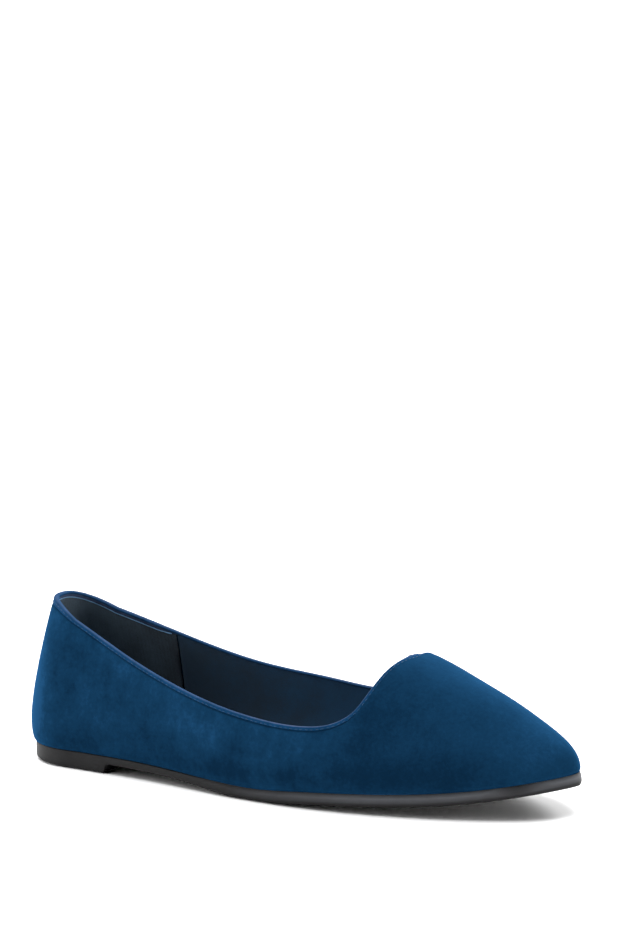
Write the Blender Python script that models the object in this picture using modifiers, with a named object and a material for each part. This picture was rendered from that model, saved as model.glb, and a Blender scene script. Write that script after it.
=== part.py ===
"""Ballet flat, right shoe: suede upper, folded topline binding, rubber sole and insole.

The shoe is lofted over one last. The last is a table of sections from heel to toe, and the upper, the
binding, the outsole and the insole all read their shapes from it, so they meet all round.

Lengths in the tables are millimetres. A station is measured along the shoe from the back of the heel to
the tip of the toe. +X points to the toe, -Y to the outer side of the foot, and +Z up from the floor.
"""

import math
from collections import namedtuple

import bmesh
import bpy
import numpy as np
from mathutils import Vector
from mathutils.bvhtree import BVHTree

MM = 0.001

# Driving dimensions
LENGTH = 257.0  # heel to toe along the feather line, where upper and sole meet
HEEL_CENTRE = 30.0  # station that the ribs of the round heel turn about
HEEL_SQUARENESS = 2.25  # 2 is an ellipse, more is squarer
DIP = 154.0  # station where the topline is lowest
THROAT = 185.3  # station where the topline crosses the ridge of the vamp
TOE_PLAN_START = 235.0  # the outline rounds off from here
TOE_PLAN_SQUARENESS = 2.2
TOE_RISE_START = 237.5  # the ridge rounds off from here
TOE_RISE_SQUARENESS = 3.0
SIDE_SWELL = 1.7  # how far the wall swells out above the sole
SWELL_HEIGHT = 14.0  # height of the fullest swell above the feather line
FULL_SWELL_CROWN = 40.0  # sections lower than this swell less
PITCH = math.radians(1.75)  # how far the last leans back on the floor, toe up
PITCH_CENTRE = 40.0  # station that it leans about

WALL = 1.5  # upper and lining together
GAP = 0.3  # clearance between pieces
BINDING = 0.4  # thickness of the folded strip
OUTSIDE_LEG = 2.2  # how far the strip reaches down the outside
INSIDE_LEG = 1.8  # and down the lining
FOLD_RISE = 0.9  # how far the fold stands above the cut edge
LINING_GAP = 0.5  # clearance of the strip's inner leg, where the wall is hollow
INSOLE = 2.4
INSOLE_INSET = WALL + 0.5  # from the feather line in to the insole's edge

HEEL_BREAST = 46.3  # front of the moulded heel
BREAST_SLOPE = 2.0
WAIST_THICKNESS = 3.4
WAIST_END = 85.0  # the sole thickens from here
BALL_THICKNESS = 5.4
BALL_START = 124.0  # and has its full thickness from here
TREAD_START = 115.0  # the sole stands flat on the floor from here
TREAD_END = 137.0  # to here
TOE_THICKNESS = 5.0
TOE_START = 205.0  # it thins towards the tip from here
HEEL_EDGE_RADIUS = 1.9  # rounding under the back of the heel
SIDE_EDGE_RADIUS = 0.7
ROUNDED_SHARE = 0.8  # at most this share of the sole's thickness is rounded
HEEL_OVERHANG = 0.6  # the upper stands this far past the sole round the heel
HEEL_OVERHANG_END = 60.0
HEEL_EDGE_END = 26.0  # the heel's rounding has thinned out by here
TOE_LIP = 0.6  # the sole's lower edge runs this far past the toe
TOE_LIP_START = 236.0

# Sections of the last: half widths at the feather line on the outer and inner side, height of the
# feather line, height of the ridge, and how square the section is (2 is an ellipse). Behind the throat the
# ridge is the top that the side walls lean towards, and the topline cuts them off below it.
Section = namedtuple("Section", "station outer inner feather ridge squareness")
LAST = (
    Section(30.0, 23.8, 24.4, 7.6, 100.0, 1.50),
    Section(70.0, 28.2, 25.4, 5.95, 93.0, 1.85),
    Section(110.0, 35.8, 27.6, 3.15, 84.0, 2.15),
    Section(128.0, 38.3, 29.8, 2.3, 77.6, 2.16),
    Section(150.0, 39.6, 33.0, 3.0, 68.0, 2.18),
    Section(168.0, 38.8, 35.2, 3.5, 59.8, 2.30),
    Section(187.0, 36.4, 35.9, 4.0, 52.9, 2.38),
    Section(205.0, 32.7, 33.8, 4.8, 45.5, 2.18),
    Section(228.0, 25.4, 26.6, 6.75, 35.0, 2.02),
    Section(245.0, 17.9, 18.4, 8.9, 26.0, 2.00),
    Section(258.0, 12.0, 11.5, 10.6, 21.5, 2.00),
)

# Heights of the upper's cut edge on the outer and inner side, as far as the ridge at the throat
Edge = namedtuple("Edge", "station outer inner")
TOPLINE = (
    Edge(0.0, 69.2, 69.2),
    Edge(12.0, 67.2, 65.9),
    Edge(30.0, 60.9, 60.5),
    Edge(60.0, 48.6, 49.9),
    Edge(95.0, 37.7, 39.6),
    Edge(130.0, 31.2, 33.6),
    Edge(154.0, 29.7, 30.4),
    Edge(162.0, 30.6, 31.4),
    Edge(168.0, 32.4, 33.2),
    Edge(172.5, 34.9, 35.6),
    Edge(176.5, 38.8, 39.4),
    Edge(180.0, 45.2, 45.5),
    Edge(182.8, 51.3, 51.4),
    Edge(184.6, 53.4, 53.4),
)

# Mesh density
HEEL_RIBS = 9
QUARTER_RIBS = 13
THROAT_RIBS = 22
TOE_RIBS = 16
WALL_ROWS = 11
EDGE_STEPS = 3
FOLD_STEPS = 4
MERGE = 0.02
SHARP_ANGLE = math.radians(40)

OUTER_SIDE = -1
INNER_SIDE = 1

Finish = namedtuple("Finish", "colour roughness")
FINISHES = {
    "upper": Finish((0.010, 0.050, 0.135), 0.90),
    "topline_binding": Finish((0.022, 0.075, 0.185), 0.80),
    "outsole": Finish((0.040, 0.038, 0.038), 0.60),
    "insole": Finish((0.012, 0.020, 0.035), 0.75),
}


class Curve:
    """Natural cubic spline through one column of a table."""

    def __init__(self, stations, values):
        self.x = np.asarray(stations, dtype=float)
        self.y = np.asarray(values, dtype=float)
        step = np.diff(self.x)
        count = len(self.x)
        system = np.eye(count)
        right = np.zeros(count)
        for i in range(1, count - 1):
            system[i, i - 1 : i + 2] = step[i - 1], 2 * (step[i - 1] + step[i]), step[i]
            right[i] = 6 * (
                (self.y[i + 1] - self.y[i]) / step[i] - (self.y[i] - self.y[i - 1]) / step[i - 1]
            )
        self.bend = np.linalg.solve(system, right)
        self.step = step

    def __call__(self, station):
        i = int(np.clip(np.searchsorted(self.x, station) - 1, 0, len(self.step) - 1))
        h = self.step[i]
        a = (self.x[i + 1] - station) / h
        b = 1.0 - a
        bent = ((a**3 - a) * self.bend[i] + (b**3 - b) * self.bend[i + 1]) * h * h / 6
        return float(a * self.y[i] + b * self.y[i + 1] + bent)


def column(name):
    """A spline through one column of the last's table."""
    return Curve([row.station for row in LAST], [getattr(row, name) for row in LAST])


outer_width = column("outer")
inner_width = column("inner")
feather_height = column("feather")
ridge_height = column("ridge")
squareness = column("squareness")
topline_height = {
    side: Curve(
        [row.station for row in TOPLINE] + [THROAT],
        [getattr(row, name) for row in TOPLINE] + [ridge_height(THROAT)],
    )
    for side, name in ((OUTER_SIDE, "outer"), (INNER_SIDE, "inner"))
}


def ease(value, start, end):
    """Smooth step from 0 at start to 1 at end."""
    t = min(max((value - start) / (end - start), 0.0), 1.0)
    return t * t * (3 - 2 * t)


def rounding(station, start, square):
    """1 behind start, falling to 0 at the toe's tip along a superellipse."""
    t = min(max((station - start) / (LENGTH - start), 0.0), 1.0)
    return max(1 - t**square, 0.0) ** (1 / square)


def half_width(station, side):
    """Half width of the outline at the feather line."""
    width = outer_width if side == OUTER_SIDE else inner_width
    return width(station) * rounding(station, TOE_PLAN_START, TOE_PLAN_SQUARENESS)


def standing(x, y, z):
    """A place of the last as it stands on the floor."""
    ahead = x - PITCH_CENTRE
    stood_x = PITCH_CENTRE + ahead * math.cos(PITCH) - z * math.sin(PITCH)
    return Vector((stood_x, y, z * math.cos(PITCH) + ahead * math.sin(PITCH)))


# One rib of the last: its foot on the feather line, the point of the centre line that it leans to
Rib = namedtuple("Rib", "foot_x foot_y centre_x station")


def rib_stations():
    """Stations of the ribs in front of the heel: even along the quarter, close at the throat and the toe."""
    quarter = np.linspace(HEEL_CENTRE, DIP, QUARTER_RIBS)
    throat = THROAT - (THROAT - DIP) * (1 - np.linspace(0, 1, THROAT_RIBS)[1:]) ** 2
    toe = THROAT + (LENGTH - THROAT) * np.sin(np.linspace(0, math.pi / 2, TOE_RIBS)[1:])
    corners = (HEEL_BREAST, HEEL_BREAST + BREAST_SLOPE, TREAD_START, TREAD_END)
    return [*sorted([*quarter, *corners]), *throat, *toe]


def ribs(side, inset=0.0):
    """Ribs of one side from the back of the heel to the tip of the toe, moved in by an inset."""
    found = []
    heel_half = half_width(HEEL_CENTRE, side) - inset
    power = 2 / HEEL_SQUARENESS
    for angle in np.linspace(0, math.pi / 2, HEEL_RIBS + 1)[:-1]:
        x = HEEL_CENTRE - (HEEL_CENTRE - inset) * math.cos(angle) ** power
        y = heel_half * math.sin(angle) ** power
        found.append(Rib(x, side * y, HEEL_CENTRE, x))
    shrink = (LENGTH - inset - HEEL_CENTRE) / (LENGTH - HEEL_CENTRE)
    for station in rib_stations():
        x = HEEL_CENTRE + (station - HEEL_CENTRE) * shrink
        tip = rounding(station, TOE_PLAN_START, TOE_PLAN_SQUARENESS)
        y = max(half_width(station, side) - inset * tip, 0.0)
        found.append(Rib(x, side * y, x, x))
    return found


def wall_points(rib, side):
    """Points of the upper's outside up one rib, from the feather line to the topline or the ridge."""
    feather = feather_height(rib.station)
    rise = ridge_height(max(rib.station, HEEL_CENTRE)) - feather
    rise *= rounding(rib.station, TOE_RISE_START, TOE_RISE_SQUARENESS)
    reach = math.hypot(rib.foot_x - rib.centre_x, rib.foot_y)
    square = squareness(max(rib.station, HEEL_CENTRE))
    top = math.pi / 2
    if rib.station < THROAT:
        cut = (topline_height[side](rib.station) - feather) / rise
        top = math.asin(min(cut, 1.0) ** (square / 2))
    points = []
    for angle in np.linspace(0, top, WALL_ROWS):
        height = rise * math.sin(angle) ** (2 / square)
        level = height / SWELL_HEIGHT
        swell = SIDE_SWELL * level * math.exp(1 - level) * min(rise / FULL_SWELL_CROWN, 1.0)
        out = reach * max(math.cos(angle), 0.0) ** (2 / square) + swell * max(math.cos(angle), 0.0)
        along = out / reach if reach > 0 else 0.0
        x = rib.centre_x + (rib.foot_x - rib.centre_x) * along
        points.append(standing(x, rib.foot_y * along, feather + height) * MM)
    return points


def sole_bottom(station):
    """Height of the sole's underside: heel, breast, waist, flat tread and toe spring."""
    seat = standing(station, 0.0, feather_height(station)).z
    thickness = WAIST_THICKNESS + (BALL_THICKNESS - WAIST_THICKNESS) * ease(station, WAIST_END, BALL_START)
    thickness += (TOE_THICKNESS - BALL_THICKNESS) * ease(station, TOE_START, LENGTH)
    return max(seat - thickness, 0.0) * ease(station, HEEL_BREAST, HEEL_BREAST + BREAST_SLOPE)


def new_object(name, bm, collection, parent):
    """Turns a bmesh into a named, smooth-shaded object with its own material."""
    mesh = bpy.data.meshes.new(name)
    bm.to_mesh(mesh)
    bm.free()
    mesh.shade_smooth()
    mesh.set_sharp_from_angle(angle=SHARP_ANGLE)
    material = bpy.data.materials.new(name)
    material.use_nodes = True
    shader = material.node_tree.nodes["Principled BSDF"]
    shader.inputs["Base Color"].default_value = (*FINISHES[name].colour, 1.0)
    shader.inputs["Roughness"].default_value = FINISHES[name].roughness
    mesh.materials.append(material)
    made = bpy.data.objects.new(name, mesh)
    made.parent = parent
    collection.objects.link(made)
    return made


def loft(bm, rows, closed=False):
    """Quads between neighbouring rows of equally many points; closed joins each row's ends."""
    verts = [[bm.verts.new(point) for point in row] for row in rows]
    for here, ahead in zip(verts, verts[1:]):
        count = len(here)
        for j in range(count if closed else count - 1):
            k = (j + 1) % count
            bm.faces.new((here[j], ahead[j], ahead[k], here[k]))
    return verts


def clean(bm):
    """Merges the rows' shared points and turns the faces outwards."""
    bmesh.ops.remove_doubles(bm, verts=bm.verts, dist=MERGE * MM)
    bmesh.ops.dissolve_degenerate(bm, edges=bm.edges, dist=MERGE * MM)
    bmesh.ops.recalc_face_normals(bm, faces=bm.faces)


def outside_surface():
    """The upper's open outside surface, both sides joined at the heel's back and along the ridge."""
    bm = bmesh.new()
    for side in (OUTER_SIDE, INNER_SIDE):
        loft(bm, [wall_points(rib, side) for rib in ribs(side)])
    clean(bm)
    top = max(bm.faces, key=lambda face: face.calc_center_median().z)
    if top.normal.z < 0:
        bmesh.ops.reverse_faces(bm, faces=bm.faces)
    bm.normal_update()
    return bm


def build_upper(collection, parent):
    """The hollow wall, open at the collar and underneath."""
    upper = new_object("upper", outside_surface(), collection, parent)
    wall = upper.modifiers.new("wall", "SOLIDIFY")
    wall.thickness = WALL * MM
    wall.offset = -1.0
    return upper


def topline_loop(surface):
    """Points of the upper's cut edge all round the collar, and the outside's normal at each."""
    edges = []
    for side in (OUTER_SIDE, INNER_SIDE):
        edges.append([wall_points(rib, side)[-1] for rib in ribs(side) if rib.station <= THROAT])
    loop = edges[0] + edges[1][-2:0:-1]
    normals = []
    for place in loop:
        nearest = min(surface.verts, key=lambda vert: (vert.co - place).length_squared)
        normals.append(nearest.normal.copy())
    return loop, normals


def binding_profile():
    """Section of the folded strip: how far down the wall, and how far out from its outside."""
    out = GAP + BINDING
    inside = -WALL - LINING_GAP
    lined = inside - BINDING
    middle = (out + lined) / 2
    half = (out - lined) / 2
    fold = [
        (-FOLD_RISE * math.sin(angle), middle + half * math.cos(angle))
        for angle in np.linspace(0, math.pi, FOLD_STEPS + 1)
    ]
    outer_face = [(OUTSIDE_LEG, out), *fold, (INSIDE_LEG, lined)]
    inner_face = [(INSIDE_LEG, inside), (-GAP, inside), (-GAP, GAP), (OUTSIDE_LEG, GAP)]
    return outer_face + inner_face


def build_binding(collection, parent):
    """The strip folded over the upper's cut edge, one closed ring that follows the wall."""
    surface = outside_surface()
    tree = BVHTree.FromBMesh(surface)
    loop, normals = topline_loop(surface)
    rows = []
    for i, place in enumerate(loop):
        ahead = loop[(i + 1) % len(loop)] - loop[i - 1]
        down = ahead.cross(normals[i]).normalized()
        row = []
        for depth, out in binding_profile():
            on_wall = place + down * depth * MM
            if depth > 0:
                on_wall = tree.find_nearest(on_wall)[0]
            row.append(on_wall + normals[i] * out * MM)
        rows.append(row)
    surface.free()
    bm = bmesh.new()
    loft(bm, rows + rows[:1], closed=True)
    clean(bm)
    return new_object("topline_binding", bm, collection, parent)


def edge_radius(station):
    """Rounding of the sole's lower edge: large under the back of the heel, small elsewhere."""
    return HEEL_EDGE_RADIUS + (SIDE_EDGE_RADIUS - HEEL_EDGE_RADIUS) * ease(station, 0.0, HEEL_EDGE_END)


def sole_side(rib):
    """Points down the sole's side at one rib, from the top edge round to the underside."""
    foot = standing(rib.foot_x, rib.foot_y, feather_height(rib.station))
    top = foot.z - GAP
    bottom = sole_bottom(rib.station)
    radius = min(edge_radius(rib.station), ROUNDED_SHARE * (top - bottom))
    lip = TOE_LIP * ease(rib.station, TOE_LIP_START, LENGTH)
    reach = math.hypot(rib.foot_x - rib.centre_x, rib.foot_y)
    tucked = -HEEL_OVERHANG * (1 - ease(rib.station, 0.0, HEEL_OVERHANG_END))
    profile = [(tucked, top)]
    for angle in np.linspace(0, math.pi / 2, EDGE_STEPS + 1):
        height = bottom + radius * (1 - math.sin(angle))
        profile.append((tucked + radius * (math.cos(angle) - 1), height))
    points = []
    for out, height in profile:
        along = max(reach + out, 0.0) / reach if reach > 0 else 0.0
        forward = lip * (top - height) / (top - bottom)
        x = foot.x + (rib.foot_x - rib.centre_x) * (along - 1) + forward
        points.append(Vector((x, rib.foot_y * along, height)) * MM)
    return points


def build_slab(name, side_points, inset, collection, parent):
    """A closed piece from its two sides: each rib's points run down one side and up the other."""
    rows = []
    for outer, inner in zip(ribs(OUTER_SIDE, inset), ribs(INNER_SIDE, inset)):
        rows.append(side_points(outer) + side_points(inner)[::-1])
    bm = bmesh.new()
    loft(bm, rows, closed=True)
    clean(bm)
    return new_object(name, bm, collection, parent)


def insole_side(rib):
    """Top and bottom edge of the insole at one rib."""
    bottom = feather_height(rib.station) + GAP / 2
    return [standing(rib.foot_x, rib.foot_y, z) * MM for z in (bottom + INSOLE, bottom)]


def bounds(objects):
    """Lowest and highest corner of the evaluated objects."""
    bpy.context.view_layer.update()
    graph = bpy.context.evaluated_depsgraph_get()
    corners = []
    for thing in objects:
        shaped = thing.evaluated_get(graph)
        corners += [shaped.matrix_world @ vert.co for vert in shaped.data.vertices]
    return np.min(corners, axis=0), np.max(corners, axis=0)


def main():
    for old in list(bpy.data.objects):
        bpy.data.objects.remove(old, do_unlink=True)
    collection = bpy.data.collections.new("ballet_flat")
    bpy.context.scene.collection.children.link(collection)
    middle = bpy.data.objects.new("shoe_middle", None)
    collection.objects.link(middle)

    pieces = [
        build_slab("outsole", sole_side, 0.0, collection, middle),
        build_slab("insole", insole_side, INSOLE_INSET, collection, middle),
        build_upper(collection, middle),
        build_binding(collection, middle),
    ]
    low, high = bounds(pieces)
    middle.location = (-(low[0] + high[0]) / 2, -(low[1] + high[1]) / 2, 0.0)


main()
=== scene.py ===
"""Ballet flat, right shoe, dressed: brushed suede, rolled topline, linings, sock and rubber sole.

Every piece is shaped over one last, the form that the shoe is made on. The last is a table of sections from
heel to toe. Its lengths are millimetres, with stations measured from the back of the heel to the tip of the
toe, the outer side of the foot on -Y and +Z up from the floor.
"""

import logging
import math
from dataclasses import dataclass, field
from enum import Enum
from typing import Callable, Optional, Sequence, Union

import bmesh
import bpy
import numpy as np
from mathutils import Matrix, Vector
from mathutils.bvhtree import BVHTree


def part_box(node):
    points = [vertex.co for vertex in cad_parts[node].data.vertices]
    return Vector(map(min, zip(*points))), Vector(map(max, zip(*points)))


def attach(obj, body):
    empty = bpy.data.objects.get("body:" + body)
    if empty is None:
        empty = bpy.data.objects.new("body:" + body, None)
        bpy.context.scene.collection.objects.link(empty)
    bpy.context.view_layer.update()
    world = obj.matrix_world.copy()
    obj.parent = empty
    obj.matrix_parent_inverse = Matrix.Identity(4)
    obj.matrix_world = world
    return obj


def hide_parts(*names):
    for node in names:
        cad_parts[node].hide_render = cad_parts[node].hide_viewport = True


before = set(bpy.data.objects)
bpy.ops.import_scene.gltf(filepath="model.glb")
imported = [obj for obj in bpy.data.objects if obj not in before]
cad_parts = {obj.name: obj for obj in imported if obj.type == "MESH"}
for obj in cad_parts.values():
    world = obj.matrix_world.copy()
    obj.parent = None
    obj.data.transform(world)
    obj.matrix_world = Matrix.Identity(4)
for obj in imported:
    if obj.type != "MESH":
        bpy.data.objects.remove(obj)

LOG = logging.getLogger("ballet_flat")
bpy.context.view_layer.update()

MM = 0.001
ROOT = "root"
PHOTO_WIDTH = 621
PHOTO_HEIGHT = 931

Triple = tuple[float, float, float]
Colour = Triple
Span = tuple[float, float]
Profile = list[Triple]
Owner = Union[bpy.types.Material, bpy.types.World]

# Half of a noise's range, which runs from 0 to 1.
MIDDLE = 0.5
# Sockets of the Mix node's colours, which share their names with those of its numbers and vectors.
MIX_COLOUR_INPUTS = (0, 6, 7)
MIX_COLOUR_OUTPUT = 2
# Millimetres: too short to divide by, short enough to count as equal, and close enough to merge.
TINY = 1e-12
SLACK = 1e-6
WELD_DISTANCE = 0.01


class Side(Enum):
    """The two sides of the foot, with the sign of their Y."""

    OUTER = -1
    INNER = 1


@dataclass(frozen=True)
class Section:
    """One section of the last.

    Half widths at the feather line, where upper and sole meet, the height of that line, the height of the
    ridge that the walls lean to, and how square the section is (2 is an ellipse).
    """

    station: float
    outer: float
    inner: float
    feather: float
    ridge: float
    squareness: float


@dataclass(frozen=True)
class Edge:
    """Heights of the upper's cut edge on both sides at one station."""

    station: float
    outer: float
    inner: float


SECTIONS = (
    Section(30.0, 23.8, 24.4, 7.6, 100.0, 1.50),
    Section(70.0, 28.2, 25.4, 5.95, 93.0, 1.85),
    Section(110.0, 35.8, 27.6, 3.15, 84.0, 2.15),
    Section(128.0, 38.3, 29.8, 2.3, 77.6, 2.16),
    Section(150.0, 39.6, 33.0, 3.0, 68.0, 2.18),
    Section(168.0, 38.8, 35.2, 3.5, 59.8, 2.30),
    Section(187.0, 36.4, 35.9, 4.0, 52.9, 2.38),
    Section(205.0, 32.7, 33.8, 4.8, 45.5, 2.18),
    Section(228.0, 25.4, 26.6, 6.75, 35.0, 2.02),
    Section(245.0, 17.9, 18.4, 8.9, 26.0, 2.00),
    Section(258.0, 12.0, 11.5, 10.6, 21.5, 2.00),
)

TOPLINE = (
    Edge(0.0, 69.8, 69.8),
    Edge(12.0, 67.9, 66.5),
    Edge(30.0, 61.6, 61.1),
    Edge(60.0, 48.9, 50.6),
    Edge(95.0, 37.9, 40.3),
    Edge(130.0, 31.1, 34.4),
    Edge(154.0, 29.4, 31.4),
    Edge(162.0, 30.1, 32.5),
    Edge(168.0, 31.8, 34.2),
    Edge(172.5, 34.2, 36.4),
    Edge(176.5, 38.2, 39.8),
    Edge(180.0, 45.0, 45.6),
    Edge(182.8, 51.5, 51.4),
    Edge(184.6, 53.4, 53.4),
)


class Spline:
    """Natural cubic spline through one column of a table."""

    def __init__(self, stations: Sequence[float], values: Sequence[float]) -> None:
        """Works out the bend at each station.

        Args:
            stations: Rising places along the last.
            values: The column's value at each place.
        """
        self.x = np.asarray(stations, dtype=float)
        self.y = np.asarray(values, dtype=float)
        self.step = np.diff(self.x)
        count = len(self.x)
        system = np.eye(count)
        right = np.zeros(count)
        slope = np.diff(self.y) / self.step
        for i in range(1, count - 1):
            behind, ahead = self.step[i - 1], self.step[i]
            system[i, i - 1 : i + 2] = behind, 2 * (behind + ahead), ahead
            right[i] = 6 * (slope[i] - slope[i - 1])
        self.bend = np.linalg.solve(system, right)

    def __call__(self, station: float) -> float:
        """Reads the spline.

        Args:
            station: Where to read it.

        Returns:
            The spline's value there.
        """
        i = int(np.clip(np.searchsorted(self.x, station) - 1, 0, len(self.step) - 1))
        h = self.step[i]
        a = (self.x[i + 1] - station) / h
        b = 1.0 - a
        bent = ((a**3 - a) * self.bend[i] + (b**3 - b) * self.bend[i + 1]) * h * h / 6
        return float(a * self.y[i] + b * self.y[i + 1] + bent)


def ease(value: float, start: float, end: float) -> float:
    """Smooth step.

    Args:
        value: Where to read the step.
        start: The step is 0 up to here.
        end: The step is 1 from here on.

    Returns:
        A share from 0 to 1.
    """
    t = min(max((value - start) / (end - start), 0.0), 1.0)
    return t * t * (3 - 2 * t)


@dataclass(frozen=True)
class Rib:
    """One rib of the last: its foot on the feather line, and the point of the centre line it leans to."""

    foot_x: float
    foot_y: float
    centre_x: float
    station: float


@dataclass(frozen=True)
class Density:
    """How many ribs each stretch of the last gets."""

    heel: int = 34
    quarter: int = 72
    throat: int = 64
    toe: int = 80


@dataclass
class Last:
    """The form that the shoe is made on, and where it stands in the frame."""

    length: float = 257.0
    heel_centre: float = 30.0
    heel_squareness: float = 2.25
    dip: float = 154.0
    throat: float = 185.3
    toe_plan_start: float = 235.0
    toe_plan_squareness: float = 2.2
    toe_rise_start: float = 237.5
    toe_rise_squareness: float = 3.0
    side_swell: float = 1.7
    swell_height: float = 14.0
    full_swell_crown: float = 40.0
    pitch: float = math.radians(1.75)
    pitch_centre: float = 40.0
    insole_inset: float = 2.0
    insole_top: float = 2.55
    row_bunching: float = 0.6
    throat_bunching: float = 1.5
    widest_search: tuple[float, float, int] = (130.0, 170.0, 81)

    def __post_init__(self) -> None:
        """Fits the splines and finds the last's heel point in the frame."""
        stations = [row.station for row in SECTIONS]
        self.width = {
            Side.OUTER: Spline(stations, [row.outer for row in SECTIONS]),
            Side.INNER: Spline(stations, [row.inner for row in SECTIONS]),
        }
        self.feather = Spline(stations, [row.feather for row in SECTIONS])
        self.ridge = Spline(stations, [row.ridge for row in SECTIONS])
        self.squareness = Spline(stations, [row.squareness for row in SECTIONS])
        places = [row.station for row in TOPLINE] + [self.throat]
        crown = self.ridge(self.throat)
        self.edge = {
            Side.OUTER: Spline(places, [row.outer for row in TOPLINE] + [crown]),
            Side.INNER: Spline(places, [row.inner for row in TOPLINE] + [crown]),
        }
        widest = max(self.half_width(s, Side.OUTER) for s in np.linspace(*self.widest_search))
        board_back = (self.insole_inset, 0.0, self.feather(self.insole_inset) + self.insole_top)
        heel_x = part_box("insole")[0].x / MM - self.standing(np.array(board_back))[0]
        centre_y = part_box("outsole")[0].y / MM + widest
        self.heel_point = np.array((heel_x, centre_y, 0.0))

    def rounding(self, station: float, start: float, square: float) -> float:
        """Rounding of the toe.

        Args:
            station: Where to read it.
            start: The rounding is 1 up to here.
            square: 2 rounds off along an ellipse, more is squarer.

        Returns:
            A share that falls to 0 at the toe's tip.
        """
        t = min(max((station - start) / (self.length - start), 0.0), 1.0)
        return max(1 - t**square, 0.0) ** (1 / square)

    def half_width(self, station: float, side: Side) -> float:
        """Half width of the outline at the feather line."""
        tip = self.rounding(station, self.toe_plan_start, self.toe_plan_squareness)
        return self.width[side](station) * tip

    def stations(self, density: Density) -> np.ndarray:
        """Stations of the ribs in front of the heel.

        Args:
            density: How many ribs each stretch gets.

        Returns:
            Rising stations, close together at the throat and the toe.
        """
        quarter = np.linspace(self.heel_centre, self.dip, density.quarter)
        rest = 1 - np.linspace(0, 1, density.throat)[1:]
        throat = self.throat - (self.throat - self.dip) * rest**self.throat_bunching
        turn = np.linspace(0, math.pi / 2, density.toe)[1:]
        toe = self.throat + (self.length - self.throat) * np.sin(turn)
        return np.concatenate((quarter, throat, toe))

    def ribs(self, side: Side, density: Density, inset: float = 0.0) -> list[Rib]:
        """Ribs of one side.

        Args:
            side: Which side of the foot.
            density: How many ribs each stretch gets.
            inset: How far the ribs' feet move in from the feather line.

        Returns:
            The ribs from the back of the heel to the tip of the toe.
        """
        found = []
        heel_half = self.half_width(self.heel_centre, side) - inset
        power = 2 / self.heel_squareness
        for angle in np.linspace(0, math.pi / 2, density.heel + 1)[:-1]:
            x = self.heel_centre - (self.heel_centre - inset) * math.cos(angle) ** power
            y = heel_half * math.sin(angle) ** power
            found.append(Rib(x, side.value * y, self.heel_centre, x))
        shrink = (self.length - inset - self.heel_centre) / (self.length - self.heel_centre)
        for station in self.stations(density):
            x = self.heel_centre + (station - self.heel_centre) * shrink
            tip = self.rounding(station, self.toe_plan_start, self.toe_plan_squareness)
            y = max(self.half_width(station, side) - inset * tip, 0.0)
            found.append(Rib(x, side.value * y, x, x))
        return found

    def wall(self, rib: Rib, side: Side, rows: int) -> np.ndarray:
        """Points up one rib.

        Args:
            rib: The rib.
            side: Its side of the foot.
            rows: How many points it gets.

        Returns:
            The points from the feather line to the topline or the ridge, in millimetres of the last.
        """
        feather = self.feather(rib.station)
        rise = self.ridge(max(rib.station, self.heel_centre)) - feather
        rise *= self.rounding(rib.station, self.toe_rise_start, self.toe_rise_squareness)
        reach = math.hypot(rib.foot_x - rib.centre_x, rib.foot_y)
        square = self.squareness(max(rib.station, self.heel_centre))
        top = math.pi / 2
        if rib.station < self.throat:
            cut = (self.edge[side](rib.station) - feather) / max(rise, TINY)
            top = math.asin(min(cut, 1.0) ** (square / 2))
        share = np.linspace(0, 1, rows)
        angle = top * (share - self.row_bunching * np.sin(2 * math.pi * share) / (2 * math.pi))
        lean = np.maximum(np.cos(angle), 0.0)
        height = rise * np.sin(angle) ** (2 / square)
        level = height / self.swell_height
        swell = self.side_swell * level * np.exp(1 - level) * min(rise / self.full_swell_crown, 1.0)
        along = (reach * lean ** (2 / square) + swell * lean) / reach if reach > 0 else 0 * lean
        x = rib.centre_x + (rib.foot_x - rib.centre_x) * along
        return np.stack((x, rib.foot_y * along, feather + height), axis=1)

    def standing(self, points: np.ndarray) -> np.ndarray:
        """The last as it stands on the floor, leaning back with its toe up.

        Args:
            points: Places of the last in millimetres.

        Returns:
            The places above the floor in millimetres.
        """
        x, y, z = np.moveaxis(points, -1, 0)
        ahead = x - self.pitch_centre
        stood_x = self.pitch_centre + ahead * math.cos(self.pitch) - z * math.sin(self.pitch)
        stood_z = z * math.cos(self.pitch) + ahead * math.sin(self.pitch)
        return np.stack((stood_x, y, stood_z), axis=-1)

    def placed(self, points: np.ndarray) -> np.ndarray:
        """Points that stand on the floor, in millimetres, as metres of the frame."""
        return (points + self.heel_point) * MM

    def framed(self, points: np.ndarray) -> np.ndarray:
        """Points of the last, in millimetres, as metres of the frame."""
        return self.placed(self.standing(points))

    def unframed(self, place: Vector) -> np.ndarray:
        """A place of the frame on the last.

        Args:
            place: The place in metres of the frame.

        Returns:
            The place in millimetres of the last.
        """
        x, y, z = np.array(place) / MM - self.heel_point
        ahead = x - self.pitch_centre
        last_x = self.pitch_centre + ahead * math.cos(self.pitch) + z * math.sin(self.pitch)
        return np.array((last_x, y, z * math.cos(self.pitch) - ahead * math.sin(self.pitch)))


def lattice(columns: int, rows: int) -> bmesh.types.BMesh:
    """A flat grid whose vertices are then laid over a form.

    Args:
        columns: Vertices along the grid's x.
        rows: Vertices along its y.

    Returns:
        The grid, with x and y running from 0 to the counts less one.
    """
    bm = bmesh.new()
    bmesh.ops.create_grid(bm, x_segments=columns - 1, y_segments=rows - 1, size=0.5)
    stretch = Matrix.Diagonal((columns - 1, rows - 1, 1.0, 1.0))
    centre = Vector(((columns - 1) / 2, (rows - 1) / 2, 0.0))
    bmesh.ops.transform(bm, matrix=Matrix.Translation(centre) @ stretch, verts=bm.verts)
    return bm


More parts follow.
